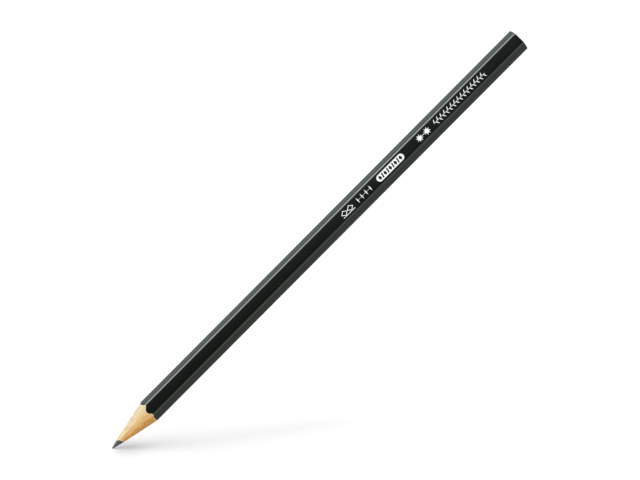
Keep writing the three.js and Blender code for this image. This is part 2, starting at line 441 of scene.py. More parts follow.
upper_obj = casing_half("upper_casing_half", 1)
lower_obj = casing_half("lower_casing_half", -1)


# ---- core and its glue ----
ROUND_STEPS = 144
ROUND_PHI = np.arange(ROUND_STEPS) * TURN / ROUND_STEPS
BLUNT_STEPS = 9  # rings over the rounded tip
CONE_STEPS = 70  # rings along the bare cone


def circle(rho):
    return np.column_stack([rho * np.cos(ROUND_PHI), rho * np.sin(ROUND_PHI)])


def blunt_rings():
    """The rounded tip, slightly uneven."""
    rings = []
    for i in range(1, BLUNT_STEPS + 1):
        angle = i / BLUNT_STEPS * (math.pi / 2 - POINT)
        wear = 0.02 * math.sin(angle) ** 2 * around(ROUND_PHI, scale=1.2, seed=12)
        wear = wear * (1 if i < BLUNT_STEPS else 0.3)
        x = TIP + TIP_R - TIP_R * math.cos(angle)
        rings.append(ring_at(x, CONE_AT + circle(TIP_R * math.sin(angle) + wear * 0.4)))
    return rings


def scratches(share):
    """Height of the marks on the bare cone, share running from the tip to the wood."""
    across, up = np.cos(ROUND_PHI), np.sin(ROUND_PHI)
    fine = 0.0022 * vnoise(across * 1.5 + 3, up * 1.5, share * 60)
    broad = 0.004 * vnoise(across * 2.5 + 7, up * 2.5, share * 5)
    level = 0.0022 * vnoise(2.2, 0, share * 30)
    return (fine + broad + level) * min(1, (1 - share) * 10) * min(1, share * 8)


def build_core():
    rings = blunt_rings()
    rho_wood = core_radius(ROUND_PHI, CORE_R) + jag(ROUND_PHI)
    x_wood = cone_x(rho_wood, ROUND_PHI)
    join, join_x = TIP_R * math.cos(POINT), TIP + TIP_R - TIP_R * math.sin(POINT)
    for i in range(1, CONE_STEPS + 1):
        share = i / CONE_STEPS
        rho = join + (rho_wood - join) * share
        x = join_x + (x_wood - join_x) * share
        scratch = scratches(share)
        points = CONE_AT * (1 - share) + circle(rho + scratch * math.cos(POINT))
        rings.append(ring_at(x - scratch * math.sin(POINT), points))
    radius = core_radius(ROUND_PHI, CORE_R)
    for share in (0.003, 0.01, 0.5, 1.0):
        rings.append(ring_at(x_wood + (TAIL - 0.02 - x_wood) * share, circle(radius)))
    for share in (0.985, 0.94, 0.85, 0.72, 0.55, 0.36, 0.18):  # the end face, inwards
        points = circle(radius * share)
        pits = 0.006 * (1 + vnoise(points[:, 0] * 4, points[:, 1] * 4, 6.6))
        rings.append(ring_at(TAIL - 0.004 - pits * (share < 0.98), points))
    tip = [TIP, CONE_AT[0], AXIS_Z + CONE_AT[1]]
    return finish_mesh("graphite_point", *capped(rings, tip, [TAIL - 0.012, 0, AXIS_Z]))


core_obj = build_core()


def build_sleeve():
    inner = core_radius(ROUND_PHI, CORE_R + 0.001)
    outer = core_radius(ROUND_PHI, SLEEVE_R + 0.009)
    ragged = jag(ROUND_PHI)
    front_in, front_out = (cone_x(rho + ragged, ROUND_PHI) for rho in (inner, outer))
    rings = [
        ring_at(front_in + 0.01, circle(inner + ragged)),
        ring_at(front_out + 0.01, circle(outer + ragged)),
    ]
    back = (0.003, 0.01, 0.5, 1.0)  # shares of the length from the cone
    for front, rho, shares in ((front_out, outer, back), (front_in, inner, back[::-1])):
        for share in shares:
            rings.append(ring_at(front + (TAIL - 0.008 - front) * share, circle(rho)))
    return finish_mesh("core_glue_line", *torus(rings))


sleeve_obj = build_sleeve()


# ---- foil marks: outlines have x along the pencil and y up the upper front facet ----
FOIL_T = 0.012
FOIL_PRESSED = 0.004  # how far the stamped edge is pressed down
FOIL_STEP = 0.09  # point spacing along an outline
FOIL_GRID = 0.17  # spacing of the points inside
FOIL_CLEAR = 0.07  # least distance from an inside point to an outline


def inside(outline, points):
    """Whether each point is inside a closed outline."""
    x, y = points[:, 0], points[:, 1]
    result = np.zeros(len(points), bool)
    starts = np.asarray(outline)
    for (x1, y1), (x2, y2) in zip(starts, np.roll(starts, -1, axis=0)):
        result ^= ((y1 > y) != (y2 > y)) & (
            x < (x2 - x1) * (y - y1) / (y2 - y1 + 1e-30) + x1
        )
    return result


def resample(outline, rough, seed):
    """Even points round a closed outline, with the slight raggedness of stamped foil."""
    corners = np.asarray(outline, float)
    points = []
    for start, end in zip(corners, np.roll(corners, -1, axis=0)):
        count = max(1, int(round(np.linalg.norm(end - start) / FOIL_STEP)))
        for i in range(count):
            points.append(start + (end - start) * i / count)
    points = np.array(points)
    tangent = np.roll(points, -1, 0) - np.roll(points, 1, 0)
    tangent /= np.linalg.norm(tangent, axis=1)[:, None] + 1e-12
    normal = np.column_stack([tangent[:, 1], -tangent[:, 0]])
    wander = vnoise(points[:, 0] * 7 + seed, points[:, 1] * 7, seed * 3.1)
    return points + normal * (wander * rough)[:, None]


def soften(outline, radius):
    """Rounds an outline's corners."""
    corners = np.asarray(outline, float)
    points = []
    for i, corner in enumerate(corners):
        before, after = corners[i - 1], corners[(i + 1) % len(corners)]
        to_before = np.linalg.norm(before - corner)
        to_after = np.linalg.norm(after - corner)
        cut = min(radius, to_before * 0.45, to_after * 0.45)
        start = corner + (before - corner) / to_before * cut
        end = corner + (after - corner) / to_after * cut
        for t in (0, 0.25, 0.5, 0.75, 1):
            points.append((1 - t) ** 2 * start + 2 * t * (1 - t) * corner + t * t * end)
    return points


def triangulate(solids, voids):
    """Points and triangles of the union of the solids less the voids."""

    def covered(points):
        hit = np.zeros(len(points), bool)
        for loop in solids:
            hit |= inside(loop, points)
        for loop in voids:
            hit &= ~inside(loop, points)
        return hit

    loops = solids + voids
    edges, start = [], 0
    for loop in loops:
        count = len(loop)
        edges += [(start + i, start + (i + 1) % count) for i in range(count)]
        start += count
    border = np.vstack(loops)
    low, high = border.min(0), border.max(0)
    grid = np.meshgrid(*(np.arange(low[i], high[i], FOIL_GRID) for i in (0, 1)))
    fill = np.column_stack([axis.ravel() for axis in grid])
    fill = fill[covered(fill)]
    gap = np.sqrt(((fill[:, None] - border[None]) ** 2).sum(-1)).min(1)
    seeds = [Vector(tuple(p)) for p in (*border, *fill[gap > FOIL_CLEAR])]
    points, _, faces, *_ = delaunay_2d_cdt(seeds, edges, [], 0, 1e-6)
    points = np.array([tuple(p) for p in points])
    faces = np.array([tuple(face) for face in faces], int)
    faces = faces[covered(points[faces].mean(1))]
    one, two, three = (points[ids] for ids in faces.T)
    to_two, to_three = two - one, three - one
    area = to_two[:, 0] * to_three[:, 1] - to_two[:, 1] * to_three[:, 0]
    faces = [face if turn > 0 else face[::-1] for face, turn in zip(faces.tolist(), area)]
    used = sorted({i for face in faces for i in face})
    renumber = {old: new for new, old in enumerate(used)}
    return points[used], [tuple(renumber[i] for i in face) for face in faces]


def foil(name, node, outlines, holes=(), rough=0.014, seed=1.0):
    """A thin stamped plate seated on the upper front facet."""
    solids = [resample(line, rough, seed + 0.37 * i) for i, line in enumerate(outlines)]
    voids = [resample(line, rough, seed + 2 + i) for i, line in enumerate(holes)]
    points, top = triangulate(solids, voids)
    sides = {(face[i], face[(i + 1) % 3]) for face in top for i in range(3)}
    rim = sorted(edge for edge in sides if edge[::-1] not in sides)
    x, rise = points[:, 0], points[:, 1]
    slope = math.radians(30)
    up_facet = np.array([0, math.sin(slope), math.cos(slope)])
    normal = np.array([0, -math.cos(slope), math.sin(slope)])
    over = np.maximum(0, np.abs(rise) - HALF_FLAT)
    flat_share = np.minimum(1, np.abs(rise) / HALF_FLAT)
    fall = CROWN * flat_share**CROWN_POWER + over**2 / (2 * RIDGE_R)
    phi = math.pi - slope - np.arctan2(rise, FLATS / 2)
    seat = FLATS / 2 - fall + wave(x, phi)

    def place(height):
        return (
            np.outer(x, [1, 0, 0])
            + np.outer(rise, up_facet)
            + height[:, None] * normal
            + np.array([0, 0, AXIS_Z])
        )

    top_height = seat + FOIL_T
    top_height[sorted({i for edge in rim for i in edge})] -= FOIL_PRESSED
    verts = np.vstack([place(top_height), place(seat + 0.001)])
    count = len(points)
    faces = top + [tuple(count + i for i in face[::-1]) for face in top]
    faces += [(end, start, count + start, count + end) for start, end in rim]
    obj = finish_mesh(name, verts, outward(verts, faces), sharp=60)
    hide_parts(node)
    return obj


def bar(x0, x1, y0, y1):
    return [(x0, y0), (x1, y0), (x1, y1), (x0, y1)]


def lozenge(x, y, half_x, half_y):
    return [(x - half_x, y), (x, y - half_y), (x + half_x, y), (x, y + half_y)]


def lozenge_pair():
    """Two open lozenges standing on a rule."""
    middle = 13.4
    centres = (middle - 1.2, middle + 1.2)
    rule = bar(middle - 2.42, middle + 2.42, -1.02, -0.84)
    solid = [soften(lozenge(x, 0.08, 1.24, 0.94), radius=0.04) for x in centres]
    return foil(
        "stamped_lozenge_pair",
        "foil_lozenge_pair",
        solid + [soften(rule, radius=0.05)],
        [soften(lozenge(x, 0.08, 0.92, 0.7), radius=0.06) for x in centres],
    )


def lozenge_row():
    """A row of four upright lozenges on a thread."""
    centres = [17.85, 19.63, 21.41, 23.19]
    thread = bar(centres[0], centres[-1], -0.035, 0.035)
    upright = [soften(lozenge(x, 0, 0.2, 1.04), radius=0.05) for x in centres]
    return foil(
        "stamped_lozenge_row", "foil_lozenge_row", [thread] + upright, rough=0.01, seed=4.0
    )


def capsule():
    """A capsule with a row of lozenge and slanted windows by turns."""
    middle, radius, length, pitch = 31.85, 1.06, 11.1, 1.08
    reach = length / 2 - radius
    quarter = math.pi / 2
    outline = []
    for end, start, stop in ((reach, -quarter, quarter), (-reach, quarter, 3 * quarter)):
        for angle in np.linspace(start, stop, 33):
            outline.append((middle + end + radius * math.cos(angle), radius * math.sin(angle)))
    windows = []
    for i in range(-4, 5):
        x = middle + i * pitch
        if i % 2 == 0:
            windows.append(soften(lozenge(x, 0, 0.55, 0.84), radius=0.06))
        else:
            slanted = [(x - 0.41, -0.77), (x + 0.07, -0.77), (x + 0.41, 0.77), (x - 0.07, 0.77)]
            windows.append(soften(slanted, radius=0.05))
    return foil("stamped_capsule", "foil_capsule", [outline], windows, seed=7.0)


def star(x):
    """An eight-rayed star."""
    outline = []
    for i in range(16):
        angle = (i + 1) * math.pi / 8
        radius = 1.26 if i % 2 == 0 else 0.55
        outline.append((x + radius * math.cos(angle), radius * math.sin(angle)))
    return soften(outline, radius=0.05)


def star_pair():
    """Two stars joined by a thin bar."""
    middle, apart = 46.05, 1.55
    left, right = middle - apart, middle + apart
    return foil(
        "stamped_star_pair",
        "foil_star_pair",
        [star(left), star(right), bar(left, right, -0.06, 0.06)],
        rough=0.01,
        seed=11.0,
    )


LEAF_RUN, LEAF_RISE, LEAF_HALF_WIDTH = 0.62, 1.08, 0.145


def leaf(x, side, number):
    """A slanted leaf from the stem, above it for side +1 and below for -1."""
    tilt = 0.05 * float(vnoise(number * 1.7, 2.2, 0.4))
    length = math.hypot(LEAF_RUN, LEAF_RISE)
    dir_x = (LEAF_RUN + tilt) / length
    dir_y = side * (LEAF_RISE - abs(tilt) * 0.5) / length
    shares = np.arange(1, 8) / 8
    widths = LEAF_HALF_WIDTH * np.sin(math.pi * shares**0.85)

    def edge(sign):
        return [
            (
                x + dir_x * length * share + sign * dir_y * width,
                dir_y * length * share - sign * dir_x * width,
            )
            for share, width in zip(shares, widths)
        ]

    point = (x + dir_x * length, dir_y * length)
    return [(x - 0.04, 0.0)] + edge(1) + [point] + edge(-1)[::-1]


def leaf_band():
    """Leaves that leave a thin stem by turns above and below."""
    start, end, leaves = 50.7, 72.4, 30
    outlines = [bar(start, end, -0.055, 0.055)]
    for i in range(leaves):
        x = start + 0.05 + (end - start - LEAF_RUN - 0.1) * i / (leaves - 1)
        outlines.append(leaf(x, 1 if i % 2 == 0 else -1, i))
    return foil("stamped_leaf_band", "foil_leaf_band", outlines, rough=0.012, seed=15.0)


foils = [lozenge_pair(), lozenge_row(), capsule(), star_pair(), leaf_band()]


# ---- node helpers ----
def is_socket(value):
    return isinstance(value, bpy.types.NodeSocket)


class Net:
    """Small wrapper that makes node graphs short to write."""

    def __init__(self, tree):
        self.tree = tree
        tree.nodes.clear()

    def node(self, kind, **props):
        made = self.tree.nodes.new(kind)
        for key, value in props.items():
            setattr(made, key, value)
        return made

    def put(self, socket, value):
        if is_socket(value):
            self.tree.links.new(value, socket)
        else:
            socket.default_value = value

    def split(self, vector):
        xyz = self.node("ShaderNodeSeparateXYZ")
        self.put(xyz.inputs[0], vector)
        return xyz.outputs

    def place(self, stretch=(1, 1, 1), offset=(0, 0, 0), rotate=(0, 0, 0)):
        """Object position in millimetres, stretched."""
        coords = self.node("ShaderNodeTexCoord")
        mapping = self.node("ShaderNodeMapping")
        self.put(mapping.inputs["Vector"], coords.outputs["Object"])
        mapping.inputs["Scale"].default_value = [1000 * s for s in stretch]
        mapping.inputs["Location"].default_value = offset
        mapping.inputs["Rotation"].default_value = rotate
        return mapping.outputs["Vector"]

    def noise(self, stretch=(1, 1, 1), offset=(0, 0, 0), scale=1.0, detail=2.0, rough=0.5):
        made = self.node("ShaderNodeTexNoise")
        self.put(made.inputs["Vector"], self.place(stretch, offset))
        made.inputs["Scale"].default_value = scale
        made.inputs["Detail"].default_value = detail
        made.inputs["Roughness"].default_value = rough
        return made.outputs["Fac"]

    def calc(self, operation, first, second=0.0, third=None):
        made = self.node("ShaderNodeMath", operation=operation)
        self.put(made.inputs[0], first)
        self.put(made.inputs[1], second)
        if third is not None:
            self.put(made.inputs[2], third)
        return made.outputs[0]

    def dot(self, vector, fixed):
        made = self.node("ShaderNodeVectorMath", operation="DOT_PRODUCT")
        self.put(made.inputs[0], vector)
        made.inputs[1].default_value = fixed
        return made.outputs["Value"]

    def remap(self, value, span, to=(0.0, 1.0)):
        """Carries the span onto another range, held at its ends."""
        made = self.node("ShaderNodeMapRange")
        self.put(made.inputs["Value"], value)
        made.inputs["From Min"].default_value, made.inputs["From Max"].default_value = span
        made.inputs["To Min"].default_value, made.inputs["To Max"].default_value = to
        return made.outputs["Result"]

    def mix(self, factor, first, second):
        made = self.node("ShaderNodeMix", data_type="RGBA")
        self.put(made.inputs["Factor"], factor)
        self.put(made.inputs["A"], first if is_socket(first) else (*first, 1))
        self.put(made.inputs["B"], second if is_socket(second) else (*second, 1))
        return made.outputs["Result"]

    def mottle(self, value, low, high, span=(0.3, 0.7)):
        """Two colours blended by a noise."""
        return self.mix(self.remap(value, span), low, high)

    def ramp(self, factor, stops):
        made = self.node("ShaderNodeValToRGB")
        self.put(made.inputs["Fac"], factor)
        elements = made.color_ramp.elements
        while len(elements) > 1:
            elements.remove(elements[-1])
        elements[0].position = stops[0][0]
        elements[0].color = (*stops[0][1], 1)
        for position, colour in stops[1:]:
            elements.new(position).color = (*colour, 1)
        return made.outputs["Color"]

    def bump(self, height, strength, distance, normal=None):
        made = self.node("ShaderNodeBump")
        made.inputs["Strength"].default_value = strength
        made.inputs["Distance"].default_value = distance
        self.put(made.inputs["Height"], height)
        if normal is not None:
            self.put(made.inputs["Normal"], normal)
        return made.outputs["Normal"]

    def mix_shader(self, factor, first, second):
        made = self.node("ShaderNodeMixShader")
        for socket, value in zip(made.inputs, (factor, first, second)):
            self.put(socket, value)
        return made.outputs[0]


def material(name):
    made = bpy.data.materials.new(name)
    made.use_nodes = True
    return made, Net(made.node_tree)


def principled(name, build):
    """A material whose surface inputs are the values that build(net) gives by name."""
    made, net = material(name)
    out = net.node("ShaderNodeOutputMaterial")
    shader = net.node("ShaderNodeBsdfPrincipled")
    net.put(out.inputs["Surface"], shader.outputs["BSDF"])
    for socket, value in build(net).items():
        net.put(shader.inputs[socket], value)
    return made


# ---- materials ----
def lacquer_look(net):
    streak = net.noise(stretch=(0.05, 3.2, 3.2), detail=3)
    cloud = net.noise(stretch=(0.25, 0.6, 0.6))
    dust = net.noise(offset=(4, 2, 7), scale=6.0)
    peel = net.noise(stretch=(0.8, 2.0, 2.0), scale=1.3)
    black = net.mottle(cloud, low=(0.0035, 0.0042, 0.0036), high=(0.0055, 0.0062, 0.0056))
    # the black turns a little lighter along the pencil towards the tail
    tail_black = net.mottle(cloud, low=(0.0063, 0.0074, 0.0070), high=(0.0090, 0.0101, 0.0097))
    tail_share = net.remap(net.split(net.place())["X"], span=(TIP + 40.0, TIP + 120.0))
    streaked = net.remap(streak, span=(0.3, 0.7), to=(0.09, 0.14))
    dusty = net.remap(dust, span=(0.62, 0.8), to=(0, 0.12))
    relief = net.bump(streak, strength=0.25, distance=0.000012)
    return {
        "Base Color": net.mix(tail_share, black, tail_black),
        "Roughness": net.calc("ADD", streaked, dusty),
        "IOR": 1.5,
        "Normal": net.bump(peel, strength=0.30, distance=0.00001, normal=relief),
    }


def ground_look(net):
    grain = net.noise(scale=5.0, detail=3)
    return {
        "Base Color": net.mottle(grain, low=(0.70, 0.61, 0.42), high=(0.82, 0.74, 0.54)),
        "Roughness": 0.6,
        "Normal": net.bump(grain, strength=0.4, distance=0.00002),
    }


# Colour of the cut wood round the cone. It is partly the wood's own colour and partly painted
# light: paler on the upper back, darker and warmer in painted shade at the lower front. Stops are
# (-1 away from the core's offset to 1 towards it, colour)
WOOD_ROUND_AND_SHADE = [
    (-1.0, (0.675, 0.583, 0.410)), (-0.8, (0.637, 0.563, 0.400)),
    (-0.5, (0.702, 0.575, 0.328)), (-0.2, (0.772, 0.549, 0.270)),
    (0.1, (0.740, 0.454, 0.173)), (0.42, (0.837, 0.475, 0.150)),
    (0.46, (0.752, 0.378, 0.092)), (0.6, (0.688, 0.310, 0.055)),
    (0.8, (0.666, 0.305, 0.050)), (1.0, (0.660, 0.310, 0.060)),
]
# Darkness through one growth layer: (share of the layer, grey)
LATE_WOOD = [(0, 0), (0.55, 0.15), (0.86, 0.8), (0.93, 1), (1.0, 0)]
TAIL_WOOD = (0.70, 0.47, 0.22)
PALE_STRAND = (0.98, 0.88, 0.60)
GRAPHITE_DUST = (0.10, 0.095, 0.085)
BOUNCE_COLOUR = (0.10, 0.11, 0.12)
CONE_TO_TAIL = (0.0, 40.0)  # x over which the cone's colouring gives way to the tail's


def darker(colour, share):
    return tuple(part * share for part in colour)


def towards_core(net, y, z):
    """How far a point lies in the direction of the core's offset."""
    return net.calc(
        "ADD",
        net.calc("MULTIPLY", y, math.cos(CORE_DIR)),
        net.calc("MULTIPLY", z, math.sin(CORE_DIR)),
    )


def round_tint_and_shade(net, here):
    """Colour by the direction from the pencil's axis."""
    # painted light and shade: paler towards the upper back, darker towards the lower front
    y, z = here["Y"], net.calc("SUBTRACT", here["Z"], AXIS_Z)
    squares = net.calc("ADD", net.calc("MULTIPLY", y, y), net.calc("MULTIPLY", z, z))
    rho = net.calc("MAXIMUM", net.calc("SQRT", squares), 0.01)
    side = net.calc("DIVIDE", towards_core(net, y, z), rho)
    stops = [((at + 1) / 2, colour) for at, colour in WOOD_ROUND_AND_SHADE]
    return net.ramp(net.calc("MULTIPLY_ADD", side, 0.5, 0.5), stops)


def growth_layers(net, shift):
    """Nearly flat sheets through the wood: long lines on the cone, bands at the tail."""
    warp = net.noise(stretch=(0.03, 0.25, 0.25), offset=(shift, 0, 0))
    turned = net.place(rotate=(math.radians(33 + shift * 5), 0.012, 0.02))
    layer = net.calc("ADD", net.split(turned)["Z"], net.calc("MULTIPLY", warp, 2.2))
    per_mm = 0.82
    stops = [(at, (grey, grey, grey)) for at, grey in LATE_WOOD]
    return net.ramp(net.calc("FRACT", net.calc("MULTIPLY", layer, per_mm)), stops)


def wood_look(warm, shift):
    """Wood with the given grain colour; shift moves its noises."""

    def build(net):
        here = net.split(net.place())
        x = here["X"]
        # the cone's colour round the axis holds painted light and shade as well as the wood's own
        # colour
        base = net.mix(net.remap(x, span=CONE_TO_TAIL), round_tint_and_shade(net, here), TAIL_WOOD)
        late = growth_layers(net, shift)
        coarse = net.noise((0.20, 2.3, 2.3), (shift * 2, 7, 3), detail=3, rough=0.62)
        strand = net.noise((0.30, 3.8, 3.8), (shift, 1, 8), detail=3, rough=0.65)
        fibre = net.noise((0.16, 8.0, 8.0), (shift, 3, 1), detail=4, rough=0.6)
        fine = net.noise((0.9, 26.0, 26.0), (2, shift, 5), detail=2, rough=0.6)
        pore = net.noise((0.6, 15.0, 15.0), (9, shift, 2), detail=1, rough=0.5)
        layering = net.remap(x, span=CONE_TO_TAIL, to=(0.30, 0.70))
        base = net.mix(net.calc("MULTIPLY", late, layering), base, warm)
        # (noise, its span, greatest share of the colour, colour)
        for value, span, share, colour in (
            (coarse, (0.50, 0.68), 0.62, warm),
            (strand, (0.52, 0.66), 0.60, warm),
            (strand, (0.47, 0.34), 0.45, PALE_STRAND),
            (fibre, (0.45, 0.72), 0.35, warm),
            (fine, (0.55, 0.75), 0.30, darker(warm, 0.55)),
            (pore, (0.66, 0.74), 0.45, darker(warm, 0.42)),
        ):
            base = net.mix(net.remap(value, span, to=(0.0, share)), base, colour)
        # graphite dust near the core, and a darker cut end
        near = net.remap(x, span=(CORE_MEET - 0.4, CORE_MEET + 0.9), to=(1.0, 0.0))
        dusty = net.remap(fibre, span=(0.4, 0.75), to=(0.0, 0.4))
        base = net.mix(net.calc("MULTIPLY", near, dusty), base, GRAPHITE_DUST)
        tail = net.remap(x, span=(TAIL - 0.25, TAIL - 0.05), to=(0.0, 0.15))
        base = net.mix(tail, base, darker(TAIL_WOOD, 0.5))
        # light scattered from the wood onto its surroundings is dim and neutral
        seen = net.node("ShaderNodeLightPath")
        relief = net.bump(coarse, strength=0.35, distance=0.00006)
        relief = net.bump(fibre, strength=0.5, distance=0.00003, normal=relief)
        return {
            "Base Color": net.mix(seen.outputs["Is Diffuse Ray"], base, BOUNCE_COLOUR),
            "Roughness": net.remap(fibre, span=(0.3, 0.7), to=(0.46, 0.64)),
            "Specular IOR Level": 0.35,
            "Normal": net.bump(fine, strength=0.45, distance=0.00002, normal=relief),
        }

    return build


def graphite_look(net):
    ringy = net.noise(stretch=(9.0, 0.6, 0.6), detail=3, rough=0.6)
    grain = net.noise(stretch=(1.6, 6, 6), offset=(0, 3, 1), detail=3, rough=0.65)
    base = net.mottle(
        grain, low=(0.036, 0.036, 0.038), high=(0.165, 0.165, 0.17), span=(0.36, 0.66)
    )
    # darker where it meets the wood, along a line that leans with the core's offset
    here = net.split(net.place())
    lean = towards_core(net, here["Y"], net.calc("SUBTRACT", here["Z"], AXIS_Z))
    reach = net.calc("MULTIPLY_ADD", lean, -(CORE_OFF - CONE_OFF) / TAN, here["X"])
    dark = net.remap(reach, span=(CORE_MEET - 0.75, CORE_MEET - 0.2), to=(0.0, 0.6))
    relief = net.bump(ringy, strength=0.4, distance=0.00002)
    return {
        "Base Color": net.mix(dark, base, (0.022, 0.022, 0.023)),
        "Metallic": 0.34,
        "Roughness": net.remap(ringy, span=(0.3, 0.75), to=(0.30, 0.52)),
        "Normal": net.bump(grain, strength=0.3, distance=0.000015, normal=relief),
    }


def glue_look(net):
    grain = net.noise(stretch=(0.6, 5, 5), detail=3)
    return {
        "Base Color": net.mottle(grain, low=(0.60, 0.45, 0.24), high=(0.74, 0.58, 0.34)),
        "Roughness": net.remap(grain, span=(0.3, 0.7), to=(0.35, 0.55)),
    }


def foil_look(net):
    grain = net.noise(scale=7.0, detail=3, rough=0.6)
    speck = net.noise(offset=(5, 5, 5), scale=15.0)
    white = net.mottle(
        grain, low=(0.93, 0.95, 0.94), high=(0.985, 0.99, 0.985), span=(0.35, 0.7)
    )
    specks = net.remap(speck, span=(0.70, 0.78), to=(0.0, 0.6))
    return {
        "Base Color": net.mix(specks, white, (0.10, 0.105, 0.10)),
        "Roughness": net.remap(grain, span=(0.3, 0.7), to=(0.3, 0.45)),
        "Normal": net.bump(grain, strength=0.3, distance=0.00001),
    }


LACQUER_MAT = principled("black_gloss_lacquer", lacquer_look)
GROUND_MAT = principled("pale_ground_coat", ground_look)
WOOD_UP = principled("softwood_upper", wood_look(warm=(0.58, 0.33, 0.11), shift=1.0))
WOOD_LOW = principled("softwood_lower", wood_look(warm=(0.54, 0.205, 0.028), shift=2.4))
GRAPHITE_MAT = principled("sharpened_graphite", graphite_look)
GLUE_MAT = principled("dried_wood_glue", glue_look)
FOIL_MAT = principled("white_stamping_foil", foil_look)


def cover(obj, look):
    obj.data.materials.clear()
    obj.data.materials.append(look)


def ride_root(obj):
    """Hangs the object on the root unless it already has a parent."""
    if obj.parent is None:
        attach(obj, "root")


for obj, look, slot, node in (
    (lacquer_obj, LACQUER_MAT, "black_lacquer", "black_lacquer"),
    (ground_obj, GROUND_MAT, "ground_paint", "ground_coat"),
    (upper_obj, WOOD_UP, "wood", "upper_wood_slat"),
    (lower_obj, WOOD_LOW, "wood", "lower_wood_slat"),
    (core_obj, GRAPHITE_MAT, "graphite", "graphite_core"),
    (sleeve_obj, GLUE_MAT, "glue", "core_glue_sleeve"),
):
    cover(obj, look)
    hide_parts(node)
    ride_root(obj)
for obj in foils:
    cover(obj, FOIL_MAT)
    ride_root(obj)
for node in ("front_glue_seam", "rear_glue_seam"):
    cover(frame["nodes"][node], GLUE_MAT)


# ---- camera: long and level, the tail turned about ten degrees away ----
TILT = math.radians(9.5)
ELEVATION = math.radians(26.0)  # round the pencil's axis
SLANT = math.radians(45.14)  # the pencil's angle in the view
VIEW_WIDTH = 1.11034004 * (TAIL - TIP) * math.cos(TILT)  # against the pencil's seen length
# Where the pencil's middle falls from the view's centre, as shares of the view's width.
MIDDLE_RIGHT = -0.006984375
MIDDLE_UP = -0.006140625
CAMERA_AWAY = 900.0

to_camera = Vector(
    (
        -math.sin(TILT),
        -math.cos(TILT) * math.cos(ELEVATION),
        math.cos(TILT) * math.sin(ELEVATION),
    )
)
axis = Vector((1, 0, 0))
seen_along = (axis - axis.dot(to_camera) * to_camera).normalized()
seen_across = to_camera.cross(seen_along)
view_right = math.cos(SLANT) * seen_along - math.sin(SLANT) * seen_across
view_up = math.sin(SLANT) * seen_along + math.cos(SLANT) * seen_across


def add_camera():
    data = bpy.data.cameras.new("photo_camera")
    data.type = "ORTHO"
    data.ortho_scale = VIEW_WIDTH * MM
    data.clip_start = 0.01
    data.clip_end = 50
    camera = bpy.data.objects.new("photo_camera", data)
    bpy.context.scene.collection.objects.link(camera)
    middle = Vector(((TIP + TAIL) / 2, 0, AXIS_Z))
    aim = middle - view_right * (MIDDLE_RIGHT * VIEW_WIDTH) - view_up * (MIDDLE_UP * VIEW_WIDTH)
    turned = Matrix((view_right, view_up, to_camera)).transposed().to_4x4()
    camera.matrix_world = Matrix.Translation((aim + to_camera * CAMERA_AWAY) * MM) @ turned
    bpy.context.scene.camera = camera


add_camera()

# ---- floors: one seen only by the camera, one only from elsewhere; in metres ----
FLOOR_REACH = 6.0
FLOOR_TILT = math.radians(13.0)
PLUME = math.radians(7.2)  # how the far soft shadow rises in the view


def plane(name, centre, side, depth):
    corners = ((-1, -1), (1, -1), (1, 1), (-1, 1))
    verts = [centre + side * i * FLOOR_REACH + depth * j * FLOOR_REACH for i, j in corners]
    mesh = bpy.data.meshes.new(name)
    mesh.from_pydata([tuple(vert) for vert in verts], [], [(0, 1, 2, 3)])
    obj = bpy.data.objects.new(name, mesh)
    bpy.context.scene.collection.objects.link(obj)
    for ray in ("diffuse", "glossy", "transmission", "shadow", "volume_scatter"):
        setattr(obj, f"visible_{ray}", False)
    return obj


# painted shadow: a soft dark patch painted into a floor's colour where a shadow should fall
def painted_shadow_keep(net, position, centre, axes, radii, depth, starts=None):
    """Brightness left by a soft dark patch with these axes and radii in millimetres.

    starts gives two distances along the first axis: no patch before the first, all of it
    after the second.
    """
    away = net.node("ShaderNodeVectorMath", operation="SUBTRACT")
    net.put(away.inputs[0], position)
    away.inputs[1].default_value = centre
    offset = away.outputs["Vector"]
    squares = []
    for direction, radius in zip(axes, radii):
        part = net.dot(offset, direction / (radius * MM))
        squares.append(net.calc("MULTIPLY", part, part))
    total = net.calc("ADD", *squares)
    near = net.calc("EXPONENT", net.calc("MULTIPLY", total, -1.0))
    if starts is not None:
        gate = net.node("ShaderNodeMapRange", interpolation_type="SMOOTHSTEP")
        net.put(gate.inputs["Value"], net.dot(offset, axes[0] / MM))
        gate.inputs["From Min"].default_value, gate.inputs["From Max"].default_value = starts
        near = net.calc("MULTIPLY", near, gate.outputs["Result"])
    return net.calc("MULTIPLY_ADD", near, -depth, 1.0)


def floor_material(name, on_sight, tone, painted_shadows=()):
    """Pale floor, shown only along the camera's line of sight or only from elsewhere."""
    made, net = material(name)
    geometry = net.node("ShaderNodeNewGeometry")
    facing = net.dot(geometry.outputs["Incoming"], to_camera)
    shown = net.calc("GREATER_THAN" if on_sight else "LESS_THAN", facing, 0.9995)
    clear = net.node("ShaderNodeBsdfTransparent")
    matt = net.node("ShaderNodeBsdfDiffuse")
    # painted shadows darken the floor's colour in soft patches
    shade = None
    for painted_shadow in painted_shadows:
        keep = painted_shadow_keep(net, geometry.outputs["Position"], **painted_shadow)
        shade = keep if shade is None else net.calc("MULTIPLY", shade, keep)
    grey = (tone, tone, tone)
    colour = (*grey, 1) if shade is None else net.mix(shade, (0, 0, 0), grey)
    net.put(matt.inputs["Color"], colour)
    out = net.node("ShaderNodeOutputMaterial")
    shader = net.mix_shader(shown, clear.outputs[0], matt.outputs[0])
    net.put(out.inputs["Surface"], shader)
    return made


floor = plane("floor", Vector((0, 0, -0.00002)), axis, Vector((0, 1, 0)))
floor.data.materials.append(floor_material("pale_floor", on_sight=False, tone=0.86))

